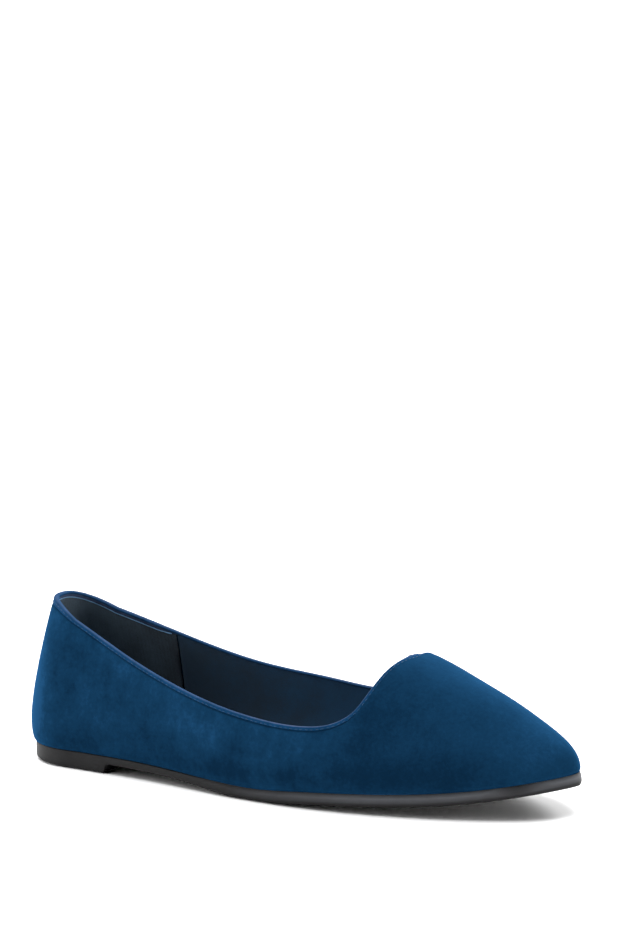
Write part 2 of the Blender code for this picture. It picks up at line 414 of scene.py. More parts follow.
def keep(bm: bmesh.types.BMesh, name: str, values: np.ndarray) -> None:
    """Keeps a number for each column and row of a lattice as a vertex layer.

    Args:
        bm: The lattice, before it is laid over its form.
        name: The layer's name.
        values: A number for each column and row.
    """
    layer = bm.verts.layers.float.new(name)
    for vert in bm.verts:
        vert[layer] = values[round(vert.co.x), round(vert.co.y)]


def lay(bm: bmesh.types.BMesh, places: np.ndarray, chart: np.ndarray) -> None:
    """Lays a lattice over a form and keeps its chart as a UV map.

    Args:
        bm: The lattice.
        places: Where each column and row goes, in metres of the frame.
        chart: Two coordinates on the surface for each column and row, in metres.
    """
    uv = bm.loops.layers.uv.new("chart")
    for face in bm.faces:
        for loop in face.loops:
            column, row = round(loop.vert.co.x), round(loop.vert.co.y)
            loop[uv].uv = chart[column, row]
    for vert in bm.verts:
        vert.co = places[round(vert.co.x), round(vert.co.y)]


def lengths(places: np.ndarray, axis: int) -> np.ndarray:
    """Arc lengths along one axis of a lattice of places.

    Args:
        places: A place for each column and row.
        axis: 0 along the columns, 1 along the rows.

    Returns:
        The length from the first place to each one.
    """
    step = np.linalg.norm(np.diff(places, axis=axis), axis=2)
    start = np.zeros_like(np.take(step, [0], axis=axis))
    return np.concatenate((start, np.cumsum(step, axis=axis)), axis=axis)


def charted(places: np.ndarray) -> np.ndarray:
    """A chart of a lattice: metres along its columns at the first row, and metres up each column."""
    along = np.repeat(lengths(places[:, :1], 0), places.shape[1], axis=1)
    return np.stack((along, lengths(places, 1)), axis=2)


def weld(bm: bmesh.types.BMesh, distance: float) -> None:
    """Merges points within a distance in millimetres and drops the faces that this flattens."""
    bmesh.ops.remove_doubles(bm, verts=bm.verts, dist=distance * MM)
    bmesh.ops.dissolve_degenerate(bm, edges=bm.edges, dist=distance * MM)


def sheet(places: np.ndarray, distance: float, **layers: np.ndarray) -> bmesh.types.BMesh:
    """A sheet through columns and rows of places.

    Args:
        places: The places in metres of the frame.
        distance: Points as close as this, in millimetres, are merged.
        layers: A number for each column and row, kept as a vertex layer of that name.

    Returns:
        The welded sheet, with its chart as a UV map.
    """
    bm = lattice(*places.shape[:2])
    for name, values in layers.items():
        keep(bm, name, values)
    lay(bm, places, charted(places))
    weld(bm, distance)
    return bm


def trim_flaps(bm: bmesh.types.BMesh) -> None:
    """Deletes flaps, which are left where both sides of a closed piece met and were merged.

    Args:
        bm: The piece. Faces that hang on an open edge are deleted until it has none.
    """
    loose = {face for edge in bm.edges if edge.is_boundary for face in edge.link_faces}
    while loose:
        bmesh.ops.delete(bm, geom=list(loose), context="FACES")
        loose = {face for edge in bm.edges if edge.is_boundary for face in edge.link_faces}


def turn_out(bm: bmesh.types.BMesh) -> None:
    """Turns the faces of a closed piece outwards.

    Args:
        bm: The piece.
    """
    bmesh.ops.recalc_face_normals(bm, faces=bm.faces)
    if bm.calc_volume(signed=True) < 0:
        bmesh.ops.reverse_faces(bm, faces=bm.faces)


def face_out(bm: bmesh.types.BMesh, inside: Vector) -> None:
    """Turns an open skin's faces away from a place inside it.

    Args:
        bm: The skin.
        inside: A place that the skin wraps.
    """
    bm.normal_update()
    votes = 0.0
    for face in bm.faces:
        votes += (face.calc_center_median() - inside).dot(face.normal) * face.calc_area()
    if votes < 0:
        bmesh.ops.reverse_faces(bm, faces=bm.faces)
    bm.normal_update()


def new_piece(
    name: str, bm: bmesh.types.BMesh, material: bpy.types.Material
) -> bpy.types.Object:
    """Makes a smooth-shaded piece that rides on the shoe.

    Args:
        name: The piece's name.
        bm: Its mesh, which is freed.
        material: Its node material.

    Returns:
        The linked object.
    """
    mesh = bpy.data.meshes.new(name)
    bm.to_mesh(mesh)
    bm.free()
    mesh.shade_smooth()
    piece = bpy.data.objects.new(name, mesh)
    bpy.context.scene.collection.objects.link(piece)
    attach(piece, ROOT)
    mesh.materials.append(material)
    return piece


def thicken(piece: bpy.types.Object, thickness: float) -> None:
    """Gives an open skin its thickness, inwards.

    Args:
        piece: The skin.
        thickness: Millimetres.
    """
    wall = piece.modifiers.new("thickness", "SOLIDIFY")
    wall.thickness = thickness * MM
    wall.offset = -1.0
    wall.use_even_offset = False


Operand = Union[float, "Field"]


class Field:
    """A node socket that Python arithmetic works on. Each operation adds a Math node."""

    def __init__(self, nodes: "Nodes", socket: bpy.types.NodeSocket) -> None:
        """Keeps the tree and the socket."""
        self.nodes = nodes
        self.socket = socket

    def _math(self, operation: str, *operands: Operand) -> "Field":
        """The result of a Math node.

        Args:
            operation: The Math node's operation.
            operands: Its numbers or sockets, in order.

        Returns:
            The node's value.
        """
        inputs = dict(enumerate(operands))
        return self.nodes.read("ShaderNodeMath", {"operation": operation}, inputs)

    def __add__(self, other: Operand) -> "Field":
        """self + other."""
        return self._math("ADD", self, other)

    def __radd__(self, other: Operand) -> "Field":
        """other + self."""
        return self._math("ADD", other, self)

    def __sub__(self, other: Operand) -> "Field":
        """self - other."""
        return self._math("SUBTRACT", self, other)

    def __rsub__(self, other: Operand) -> "Field":
        """other - self."""
        return self._math("SUBTRACT", other, self)

    def __mul__(self, other: Operand) -> "Field":
        """self * other."""
        return self._math("MULTIPLY", self, other)

    def __rmul__(self, other: Operand) -> "Field":
        """other * self."""
        return self._math("MULTIPLY", other, self)

    def sine(self) -> "Field":
        """The sine of an angle in radians."""
        return self._math("SINE", self)

    def swing(self, share: float) -> "Field":
        """A noise's swing about its middle, times a share."""
        return (self - MIDDLE) * share

    def step(self, start: float, end: float) -> "Field":
        """Smooth step.

        Args:
            start: The step is 0 up to here.
            end: The step is 1 from here on.

        Returns:
            A share from 0 to 1.
        """
        settings = {"interpolation_type": "SMOOTHSTEP"}
        inputs = {"Value": self, "From Min": start, "From Max": end, "To Min": 0.0, "To Max": 1.0}
        return self.nodes.read("ShaderNodeMapRange", settings, inputs)

    def ramp(self, reach: Span, values: Span) -> "Field":
        """Straight ramp, level outside its reach.

        Args:
            reach: Where the ramp starts and ends.
            values: Its values there.

        Returns:
            The ramp's value.
        """
        names = ("From Min", "From Max", "To Min", "To Max")
        inputs = {"Value": self, **dict(zip(names, (*reach, *values)))}
        return self.nodes.read("ShaderNodeMapRange", inputs=inputs)


@dataclass(frozen=True)
class Grain:
    """One layer of noise.

    The size of its patches in millimetres, its octaves and how strong they are, and its share of a tone.
    """

    size: float
    detail: float
    rough: float
    share: float = 0.0


class Nodes:
    """The node tree of a material or a world."""

    def __init__(self, owner: Owner, shader: str) -> None:
        """Starts from the shader that a new tree has.

        Args:
            owner: The material or the world.
            shader: The name of its shader node.
        """
        owner.use_nodes = True
        self.owner = owner
        self.tree = owner.node_tree
        self.shader = self.tree.nodes[shader]

    def plug(self, socket: bpy.types.NodeSocket, value: Union[Operand, Sequence[float]]) -> None:
        """Links a field to a socket, or sets the socket's own value.

        Args:
            socket: The input socket.
            value: A field, a number, a colour or a vector.
        """
        if isinstance(value, Field):
            self.tree.links.new(value.socket, socket)
        else:
            socket.default_value = value

    def read(
        self,
        kind: str,
        settings: Optional[dict] = None,
        inputs: Optional[dict] = None,
        output: Union[int, str] = 0,
    ) -> Field:
        """Adds a node.

        Args:
            kind: The node's type.
            settings: Its own properties, set first.
            inputs: A value or a field for each socket, by name or number.
            output: The socket to return.

        Returns:
            The node's output.
        """
        made = self.tree.nodes.new(kind)
        for key, value in (settings or {}).items():
            setattr(made, key, value)
        for key, value in (inputs or {}).items():
            self.plug(made.inputs[key], value)
        return Field(self, made.outputs[output])

    def place(self) -> Field:
        """Object coordinates, in metres."""
        return self.read("ShaderNodeTexCoord", output="Object")

    def chart(self) -> Field:
        """The piece's own UV map, in metres on its surface."""
        return self.read("ShaderNodeUVMap", {"uv_map": "chart"})

    def mark(self, name: str) -> Field:
        """A number that the mesh holds at each vertex."""
        return self.read("ShaderNodeAttribute", {"attribute_name": name}, output="Fac")

    def stretched(self, vector: Field, scale: Sequence[float]) -> Field:
        """A vector stretched by a Mapping node."""
        return self.read("ShaderNodeMapping", inputs={"Vector": vector, "Scale": scale})

    def noise(self, vector: Field, grain: Grain) -> Field:
        """Noise from 0 to 1, about its middle.

        Args:
            vector: Where it is read, in metres.
            grain: Its size and octaves.

        Returns:
            The noise.
        """
        inputs = {
            "Vector": vector,
            "Scale": 1 / (grain.size * MM),
            "Detail": grain.detail,
            "Roughness": grain.rough,
        }
        return self.read("ShaderNodeTexNoise", inputs=inputs)

    def split(self, vector: Field) -> tuple[Field, ...]:
        """A vector's three numbers."""
        parts = self.read("ShaderNodeSeparateXYZ", inputs={"Vector": vector}).socket.node
        return tuple(Field(self, socket) for socket in parts.outputs)

    def mix(self, share: Operand, first: Union[Colour, Field], second: Union[Colour, Field]) -> Field:
        """A colour between two.

        Args:
            share: 0 gives the first, 1 the second.
            first: A colour or a field of colours.
            second: Another.

        Returns:
            The mixed colour.
        """
        settings = {"data_type": "RGBA", "clamp_factor": True}
        pair = [value if isinstance(value, Field) else (*value, 1.0) for value in (first, second)]
        sockets = dict(zip(MIX_COLOUR_INPUTS, (share, *pair)))
        return self.read("ShaderNodeMix", settings, sockets, output=MIX_COLOUR_OUTPUT)

    def bump(
        self, height: Field, depth: float, strength: float = 1.0, under: Optional[Field] = None
    ) -> Field:
        """A bent normal.

        Args:
            height: Heights from 0 to 1.
            depth: What 1 stands for, in millimetres.
            strength: How far the normal bends.
            under: A normal that this one lies on.

        Returns:
            The normal.
        """
        inputs = {"Height": height, "Distance": depth * MM, "Strength": strength}
        if under is not None:
            inputs["Normal"] = under
        return self.read("ShaderNodeBump", inputs=inputs)

    def finish(self, **sockets: Union[Operand, Sequence[float]]) -> Owner:
        """Sets the shader's sockets.

        Args:
            sockets: A value or a field for each socket, named with underscores for spaces.

        Returns:
            The material or the world.
        """
        for name, value in sockets.items():
            self.plug(self.shader.inputs[name.replace("_", " ")], value)
        return self.owner


def new_material(name: str) -> Nodes:
    """The nodes of a new material with a Principled shader."""
    return Nodes(bpy.data.materials.new(name), "Principled BSDF")


@dataclass(frozen=True)
class Suede:
    """Brushed suede: clouds of nap over a body colour, pale along folds from wear and painted light, with
    fuzz that shines a little.

    Along the calm stretch, in metres of the frame towards the toe, the clouds grow fainter.
    """

    name: str
    shade: Colour
    body: Colour
    light: Colour
    # Pale colour that the worn layer mixes in: wear and painted light along the strip.
    worn: Colour = (0.066, 0.082, 0.138)
    sheen: float = 0.18
    calm: Span = (0.02, 0.07)
    calm_share: float = 0.55
    brushed: Triple = (1.0, 1.0, 0.7)
    smeared: Triple = (0.35, 0.8, 0.8)
    clouds: Grain = Grain(24.0, 2.0, 0.55, 0.8)
    patches: Grain = Grain(6.5, 3.0, 0.6, 0.8)
    smears: Grain = Grain(2.4, 3.0, 0.6, 0.3)
    flecks: Grain = Grain(1.5, 2.0, 0.6, 0.40)
    fibres: Grain = Grain(0.45, 1.0, 0.5, 0.15)
    stroke_share: float = 0.5
    dark_tones: Span = (0.05, 0.55)
    light_tones: Span = (0.45, 1.0)
    wear_and_light_share: float = 0.75
    pale_breakup: float = 1.2
    fibre_height: float = 0.6
    fleck_height: float = 0.4

    def material(self) -> bpy.types.Material:
        """The suede's node material.

        Returns:
            The material.
        """
        n = new_material(self.name)
        place = n.place()
        mottle = 1.0 - n.split(place)[0].step(*self.calm) * self.calm_share
        brushed = n.stretched(place, self.brushed)
        clouds = n.noise(brushed, self.clouds)
        patches = n.noise(brushed, self.patches)
        smears = n.noise(n.stretched(place, self.smeared), self.smears)
        flecks = n.noise(place, self.flecks)
        fibres = n.noise(place, self.fibres)
        broad = clouds.swing(self.clouds.share) + patches.swing(self.patches.share)
        broad = broad + smears.swing(self.smears.share)
        tone = MIDDLE + broad * mottle + flecks.swing(self.flecks.share)
        # The nap layer adds strokes of nap tone, painted highlight and painted shade, and painted shade along
        # the seam.
        tone = tone + fibres.swing(self.fibres.share) + n.mark("nap") * self.stroke_share
        colour = n.mix(tone.step(*self.dark_tones), self.shade, self.body)
        colour = n.mix(tone.step(*self.light_tones), colour, self.light)
        # The worn layer pales the strip with wear and painted light.
        wear = n.mark("worn") * (self.wear_and_light_share + patches.swing(self.pale_breakup))
        nap = n.bump(fibres * self.fibre_height + flecks * self.fleck_height, depth=0.16, strength=0.55)
        return n.finish(
            Base_Color=n.mix(wear, colour, self.worn),
            Roughness=0.92,
            Specular_IOR_Level=0.0,
            Sheen_Weight=self.sheen,
            Sheen_Roughness=0.35,
            Sheen_Tint=(0.11, 0.44, 1.0, 1.0),
            Normal=n.bump(patches, depth=0.5, strength=0.18, under=nap),
        )


@dataclass(frozen=True)
class Lining:
    """Thin lining cloth, plain or ribbed up the wall, paler along its fade in metres of the frame, with
    painted shade between its ribs.
    """

    name: str
    body: Colour
    worn: Colour
    rib: float = 0.0
    fade: Span = (-0.08, 0.06)
    fade_share: float = 0.6
    wear: float = 0.25
    worn_tones: Span = (0.15, 0.9)
    patches: Grain = Grain(14.0, 3.0, 0.6, 0.8)
    weave: Grain = Grain(0.6, 2.0, 0.6, 0.4)
    weave_height: float = 0.5
    rib_painted_shade: float = 0.05
    rib_height: float = 0.15

    def material(self) -> bpy.types.Material:
        """The lining's node material.

        Returns:
            The material.
        """
        n = new_material(self.name)
        place = n.place()
        weave = n.noise(place, self.weave)
        patches = n.noise(place, self.patches)
        # Paler along the fade and in random patches.
        wear = n.split(place)[0].step(*self.fade) * self.fade_share + patches.swing(self.patches.share)
        wear = wear + self.wear + weave.swing(self.weave.share)
        height = weave * self.weave_height
        if self.rib:
            along = n.split(n.chart())[0]
            ribs = (along * (2 * math.pi / (self.rib * MM))).sine() * MIDDLE + MIDDLE
            # Painted shade in the grooves between the ribs, paler on their crests.
            wear = wear + ribs.swing(self.rib_painted_shade)
            height = height + ribs * self.rib_height
        return n.finish(
            Base_Color=n.mix(wear.step(*self.worn_tones), self.body, self.worn),
            Roughness=0.85,
            Specular_IOR_Level=0.18,
            Normal=n.bump(height, depth=0.15, strength=0.5),
        )


@dataclass(frozen=True)
class Rubber:
    """Moulded rubber with a satin skin, a little scuffed.

    A painted highlight on its side grows from the first of two stations of the last to the second; its
    patches, scuffs and the share all over are dust.
    """

    name: str
    body: Colour
    pale_dust_and_highlight: Colour
    highlight_stations: Span
    highlight_share: float = 0.9
    dust_all_over: float = 0.05
    # How far the sole's painted shade darkens the rubber.
    painted_shade_share: float = 0.97
    scuffed: Triple = (0.18, 0.6, 1.6)
    patches: Grain = Grain(18.0, 4.0, 0.6, 0.35)
    scuffs: Grain = Grain(2.2, 4.0, 0.7, 0.35)
    skin: Grain = Grain(0.35, 2.0, 0.5)
    roughness: float = 0.55
    scuff_roughness: float = 0.25
    scuff_height: float = 0.4

    def material(self, last: Last) -> bpy.types.Material:
        """The rubber's node material.

        Args:
            last: The last that the stations are on.

        Returns:
            The material.
        """
        n = new_material(self.name)
        place = n.place()
        patches = n.noise(place, self.patches)
        scuffs = n.noise(n.stretched(place, self.scuffed), self.scuffs)
        # The ramp from heel to toe paints a highlight on the forefoot's side; the patches, scuffs and the
        # share all over are dust.
        ends = [last.framed(np.array((station, 0.0, 0.0)))[0] for station in self.highlight_stations]
        dust_and_highlight = n.split(place)[0].step(*ends) * self.highlight_share + patches.swing(self.patches.share)
        dust_and_highlight = dust_and_highlight + scuffs.swing(self.scuffs.share) + self.dust_all_over
        # Painted shade darkens the lower edge, the seam and a stretch near the toe, taking off the dust and
        # the painted highlight.
        dust_and_highlight = dust_and_highlight * (1.0 - n.mark("painted_shade") * self.painted_shade_share)
        height = n.noise(place, self.skin) + scuffs * self.scuff_height
        return n.finish(
            Base_Color=n.mix(dust_and_highlight, self.body, self.pale_dust_and_highlight),
            Roughness=self.roughness + scuffs.swing(self.scuff_roughness),
            Specular_IOR_Level=0.15,
            Normal=n.bump(height, depth=0.05, strength=0.35),
        )


@dataclass(frozen=True)
class Thread:
    """Spun thread or a cut edge of cloth, darker between its fibres."""

    name: str
    body: Colour
    shaded: float = 0.7
    twist: Grain = Grain(0.3, 2.0, 0.5)

    def material(self) -> bpy.types.Material:
        """The thread's node material.

        Returns:
            The material.
        """
        n = new_material(self.name)
        twist = n.noise(n.place(), self.twist)
        colour = n.mix(twist, tuple(self.shaded * c for c in self.body), self.body)
        return n.finish(Base_Color=colour, Roughness=0.6, Normal=n.bump(twist, depth=0.05, strength=0.5))


BLUE_SUEDE = Suede(
    name="blue_suede",
    shade=(0.0023, 0.0151, 0.0375),
    body=(0.0039, 0.0256, 0.0618),
    light=(0.0073, 0.0428, 0.1050),
)
EDGE_SUEDE = Suede(
    name="blue_suede_edge",
    shade=(0.0034, 0.021, 0.055),
    body=(0.0053, 0.032, 0.082),
    light=(0.0083, 0.047, 0.125),
)
NAVY_LINING = Lining(name="navy_lining", body=(0.036, 0.060, 0.090), worn=(0.030, 0.094, 0.182))
GRIP_LINING = Lining(
    name="grip_lining",
    body=(0.040, 0.047, 0.056),
    worn=(0.085, 0.120, 0.152),
    rib=1.7,
    fade=(-0.05, -0.13),
)
SOCK_CLOTH = Lining(name="sock_cloth", body=(0.012, 0.020, 0.034), worn=(0.022, 0.034, 0.050))
CHARCOAL_RUBBER = Rubber(
    name="charcoal_rubber",
    body=(0.0066, 0.0064, 0.0070),
    # Pale colour of the dust and of the painted highlight.
    pale_dust_and_highlight=(0.084, 0.088, 0.098),
    highlight_stations=(90.0, 190.0),
)
BLUE_THREAD = Thread(name="blue_thread", body=(0.0065, 0.040, 0.105))
# Pale cut edge of the grip cloth, its paleness partly a painted highlight.
GRIP_EDGE_AND_HIGHLIGHT = Thread(name="grip_edge_and_highlight", body=(0.17, 0.36, 0.60))


@dataclass(frozen=True)
class Crease:
    """A soft trough in one wall of the upper, with a low ridge along each side of it.

    It fades in and out along its run, and its ridges lie some widths away from its middle.
    """

    side: Side
    start: Span
    end: Span
    width: float
    depth: float
    fade_in: Span = (-0.15, 0.3)
    fade_out: Span = (0.7, 1.15)
    ridge_share: float = 0.45
    ridge_place: float = 1.9

    def lift(self, station: float, height: float) -> float:
        """How far the trough moves the wall out.

        Args:
            station: Station of the place.
            height: Its height.

        Returns:
            Millimetres, negative in the trough.
        """
        run = np.subtract(self.end, self.start)
        length = float(np.hypot(*run))
        offset = np.subtract((station, height), self.start)
        along = float(offset @ run) / length**2
        fade = ease(along, *self.fade_in) * (1 - ease(along, *self.fade_out))
        if fade == 0.0:
            return 0.0
        away = abs(float(offset[0] * run[1] - offset[1] * run[0])) / length / self.width
        ridge = self.ridge_share * math.exp(-((away - self.ridge_place) ** 2))
        return self.depth * fade * (ridge - math.exp(-(away**2)))


@dataclass(frozen=True)
class Stroke:
    """A patch lighter or darker than the suede round it. Some are nap that lies another way, some paint a
    highlight and some paint shade.
    """

    side: Side
    station: float
    height: float
    length: float
    width: float
    turn: float
    tone: float

    def tint(self, station: float, height: float) -> float:
        """The patch's share of tone.

        Args:
            station: Station of the place.
            height: Its height.

        Returns:
            The tone, which falls off from the middle of the patch.
        """
        angle = math.radians(self.turn)
        dx, dz = station - self.station, height - self.height
        along = (dx * math.cos(angle) + dz * math.sin(angle)) / self.length
        across = (dz * math.cos(angle) - dx * math.sin(angle)) / self.width
        return self.tone * math.exp(-(along**2) - across**2)


CREASES = (
    Crease(Side.OUTER, (176.0, 26.0), (150.0, 9.0), 4.0, 0.22),
    Crease(Side.OUTER, (196.0, 30.0), (176.0, 10.0), 4.5, 0.20),
    Crease(Side.INNER, (176.0, 27.0), (156.0, 9.0), 4.0, 0.24),
    Crease(Side.INNER, (196.0, 30.0), (180.0, 10.0), 4.5, 0.20),
)

# The first two rows paint a highlight round the back of the heel and the last row one at the toe; the rows at
# station 28 height 13, station 120 and station 194 paint shade low on the outer wall. The rest darken and
# lighten single patches.
STROKES = (
    Stroke(Side.OUTER, 5.0, 34.0, 30.0, 8.0, 95.0, 1.40),
    Stroke(Side.INNER, -5.0, 34.0, 30.0, 8.0, 85.0, 1.40),
    Stroke(Side.OUTER, 28.0, 26.0, 12.0, 6.0, 80.0, -0.22),
    Stroke(Side.OUTER, 82.0, 16.0, 12.0, 8.0, 30.0, -0.30),
    Stroke(Side.OUTER, 112.0, 12.0, 10.0, 7.0, 0.0, -0.20),
    Stroke(Side.OUTER, 96.0, 27.0, 16.0, 6.0, -15.0, 0.20),
    Stroke(Side.OUTER, 180.0, 29.0, 13.0, 10.0, 40.0, -0.50),
    Stroke(Side.OUTER, 204.0, 32.0, 30.0, 13.0, -25.0, -0.40),
    Stroke(Side.OUTER, 28.0, 13.0, 18.0, 7.0, 0.0, -0.70),
    Stroke(Side.OUTER, 120.0, 9.0, 42.0, 4.0, 0.0, -0.50),
    Stroke(Side.OUTER, 218.0, 30.0, 22.0, 7.0, -30.0, 0.30),
    Stroke(Side.OUTER, 194.0, 12.0, 38.0, 8.0, 0.0, -0.85),
    Stroke(Side.OUTER, 244.0, 20.0, 10.0, 7.0, -30.0, 0.35),
)


@dataclass
class Upper:
    """The suede wall and the linings inside it."""

    last: Last
    rows: int = 84
    suede_thickness: float = 0.9
    lining_depth: float = 0.95
    lining_thickness: float = 0.55
    grip_depth: float = 1.45
    grip_thickness: float = 0.35
    grip_front: float = 55.0
    turn_under: float = 0.45
    turn_reach: float = 0.9
    edge_roll: float = 0.10
    throat_roll: float = 0.45
    roll_reach: float = 2.0
    throat_stretch: Span = (181.0, 185.2)
    throat_far_side: Span = (0.0, 7.0)
    seam_depth: float = 1.45
    seam_width: float = 0.45
    seam_trough: float = 0.25
    seam_groove_painted_shade: float = 0.9
    heel_extra: float = 1.4
    heel_stretch: Span = (8.0, 34.0)
    lining_start: float = 55.5
    inside_height: float = 20.0
    density: Density = field(default_factory=Density)

    def __post_init__(self) -> None:
        """Works out the wall's places and normals, toe to heel along the outer side and back to the toe."""
        outer, inner = (
            [self.last.wall(rib, side, self.rows) for rib in self.last.ribs(side, self.density)]
            for side in (Side.OUTER, Side.INNER)
        )
        self.points = np.array(outer[::-1] + inner[1:])
        self.normals = self._normals()

    def _normals(self) -> np.ndarray:
        """The wall's normals.

        Returns:
            The outward normal at each column and row.
        """
        along = np.gradient(self.points, axis=0)
        up = np.gradient(self.points, axis=1)
        normals = np.cross(up, along)
        size = np.linalg.norm(normals, axis=2, keepdims=True)
        normals = normals / np.maximum(size, TINY)
        half = len(self.points) // 2
        ridge = self.points[:, -1, 0] >= self.last.throat
        ridge[half] = False
        shared = normals[:, -1] + normals[::-1, -1]
        shared /= np.maximum(np.linalg.norm(shared, axis=1, keepdims=True), TINY)
        normals[ridge, -1] = shared[ridge]
        tip = np.array((1.0, 0.0, 0.0))
        normals[0] = normals[-1] = tip
        return normals

    def edge_places(self) -> np.ndarray:
        """Which columns end at the cut edge and not on the ridge."""
        return self.points[:, -1, 0] <= self.last.throat + SLACK

    def crown(self, place: np.ndarray) -> tuple[float, float]:
        """How near a place of the edge is to the crown of the throat.

        Args:
            place: The place in millimetres of the last.

        Returns:
            The shares on its outer and on its inner side.
        """
        near = ease(place[0], *self.throat_stretch)
        inner = ease(place[1], *self.throat_far_side)
        return near * (1 - inner), near * inner

    def roll_in(self, place: np.ndarray, depth: float) -> float:
        """How far the wall rolls in towards its cut edge.

        Args:
            place: The nearest place of the edge, in millimetres of the last.
            depth: Distance from the edge in millimetres.

        Returns:
            Millimetres, largest at the edge and at the crown of the throat.
        """
        deepest = self.edge_roll + (self.throat_roll - self.edge_roll) * self.crown(place)[1]
        return deepest * math.exp(-((depth / self.roll_reach) ** 2))

    def rolled(self) -> np.ndarray:
        """How far the wall rolls in towards its cut edge.

        Returns:
            Millimetres at each column and row.
        """
        edge = self.points[self.edge_places(), -1]
        inward = np.zeros(self.points.shape[:2])
        for column, places in enumerate(self.points):
            apart = np.linalg.norm(places[:, None] - edge[None], axis=2)
            nearest = apart.argmin(axis=1)
            for row, (place, near) in enumerate(zip(apart, nearest)):
                inward[column, row] = self.roll_in(edge[near], place[near])
        return inward

    def seam(self) -> np.ndarray:
        """The seam under the topline's strip.

        Returns:
            A share at each column and row, 1 along the seam and 0 away from it.
        """
        up = lengths(self.points, 1)
        back = np.array([1 - ease(x, *self.heel_stretch) for x in self.points[:, -1, 0]])[:, None]
        away = (up[:, -1:] - up - self.seam_depth - self.heel_extra * back) / self.seam_width
        return self.edge_places()[:, None] * np.exp(-(away**2))

    def lifts(self) -> np.ndarray:
        """How far creases, the seam and the roll move the wall out.

        Returns:
            Millimetres at each column and row.
        """
        up = lengths(self.points, 1)
        moved = -self.turn_under * np.exp(-((up / self.turn_reach) ** 2)) - self.seam_trough * self.seam()
        for column, row in np.ndindex(*moved.shape):
            x, y, z = self.points[column, row]
            moved[column, row] += sum(c.lift(x, z) for c in CREASES if c.side.value * y > 0)
        return moved - self.rolled()

    def nap(self) -> np.ndarray:
        """Tone of the nap layer: strokes of nap tone, painted highlight and painted shade, and painted shade
        along the seam.

        Returns:
            The tone at each column and row.
        """
        # Painted shade along the seam under the strip.
        tones = -self.seam_groove_painted_shade * self.seam()
        for column, row in np.ndindex(*tones.shape):
            x, y, z = self.points[column, row]
            side = Side.INNER if y > 0 else Side.OUTER
            tones[column, row] += sum(s.tint(x, z) for s in STROKES if s.side is side)
        return tones

    def skin(self, depth: Union[float, np.ndarray], **layers: np.ndarray) -> bmesh.types.BMesh:
        """An open skin along the wall.

        Args:
            depth: How far inside the wall's outside it lies, in millimetres.
            layers: A number for each column and row, kept as a vertex layer of that name.

        Returns:
            The skin, welded along the ridge and at the toe, with its faces outwards.
        """
        inward = np.broadcast_to(np.asarray(depth, dtype=float), self.points.shape[:2])
        places = self.last.framed(self.points - self.normals * inward[:, :, None])
        bm = sheet(places, WELD_DISTANCE, **layers)
        face_out(bm, Vector(self.last.framed(np.array((self.last.dip, 0.0, self.inside_height)))))
        return bm

    def build_suede(self, finish: Suede) -> bpy.types.Object:
        """The suede outside, with its creases.

        Args:
            finish: The suede.

        Returns:
            The piece.
        """
        # The nap layer carries painted highlight and painted shade as well as nap tone.
        bm = self.skin(-self.lifts(), nap=self.nap())
        piece = new_piece("suede_upper", bm, finish.material())
        thicken(piece, self.suede_thickness)
        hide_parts("upper")
        return piece

    def _cut(self, bm: bmesh.types.BMesh, station: float, keep_front: bool) -> None:
        """Cuts a lining across the shoe and keeps one end of it.

        Args:
            bm: The lining.
            station: Where it is cut.
            keep_front: Whether the end at the toe is kept.
        """
        place = Vector(self.last.framed(np.array((station, 0.0, 0.0))))
        bmesh.ops.bisect_plane(
            bm,
            geom=[*bm.verts, *bm.edges, *bm.faces],
            plane_co=place,
            plane_no=(1.0, 0.0, 0.0),
            clear_inner=keep_front,
            clear_outer=not keep_front,
        )

    def build_lining(self, finish: Lining) -> bpy.types.Object:
        """The smooth lining of the quarters and the vamp.

        Args:
            finish: The lining cloth.

        Returns:
            The piece.
        """
        bm = self.skin(self.lining_depth + self.rolled())
        self._cut(bm, self.lining_start, keep_front=True)
        piece = new_piece("vamp_lining", bm, finish.material())
        thicken(piece, self.lining_thickness)
        return piece

    def build_grip(self, finish: Lining) -> bpy.types.Object:
        """The ribbed grip round the heel, whose front edge lies over the lining.

        Args:
            finish: The grip's cloth.

        Returns:
            The piece.
        """
        bm = self.skin(self.grip_depth + self.rolled())
        self._cut(bm, self.grip_front, keep_front=False)
        piece = new_piece("heel_grip", bm, finish.material())
        thicken(piece, self.grip_thickness)
        return piece


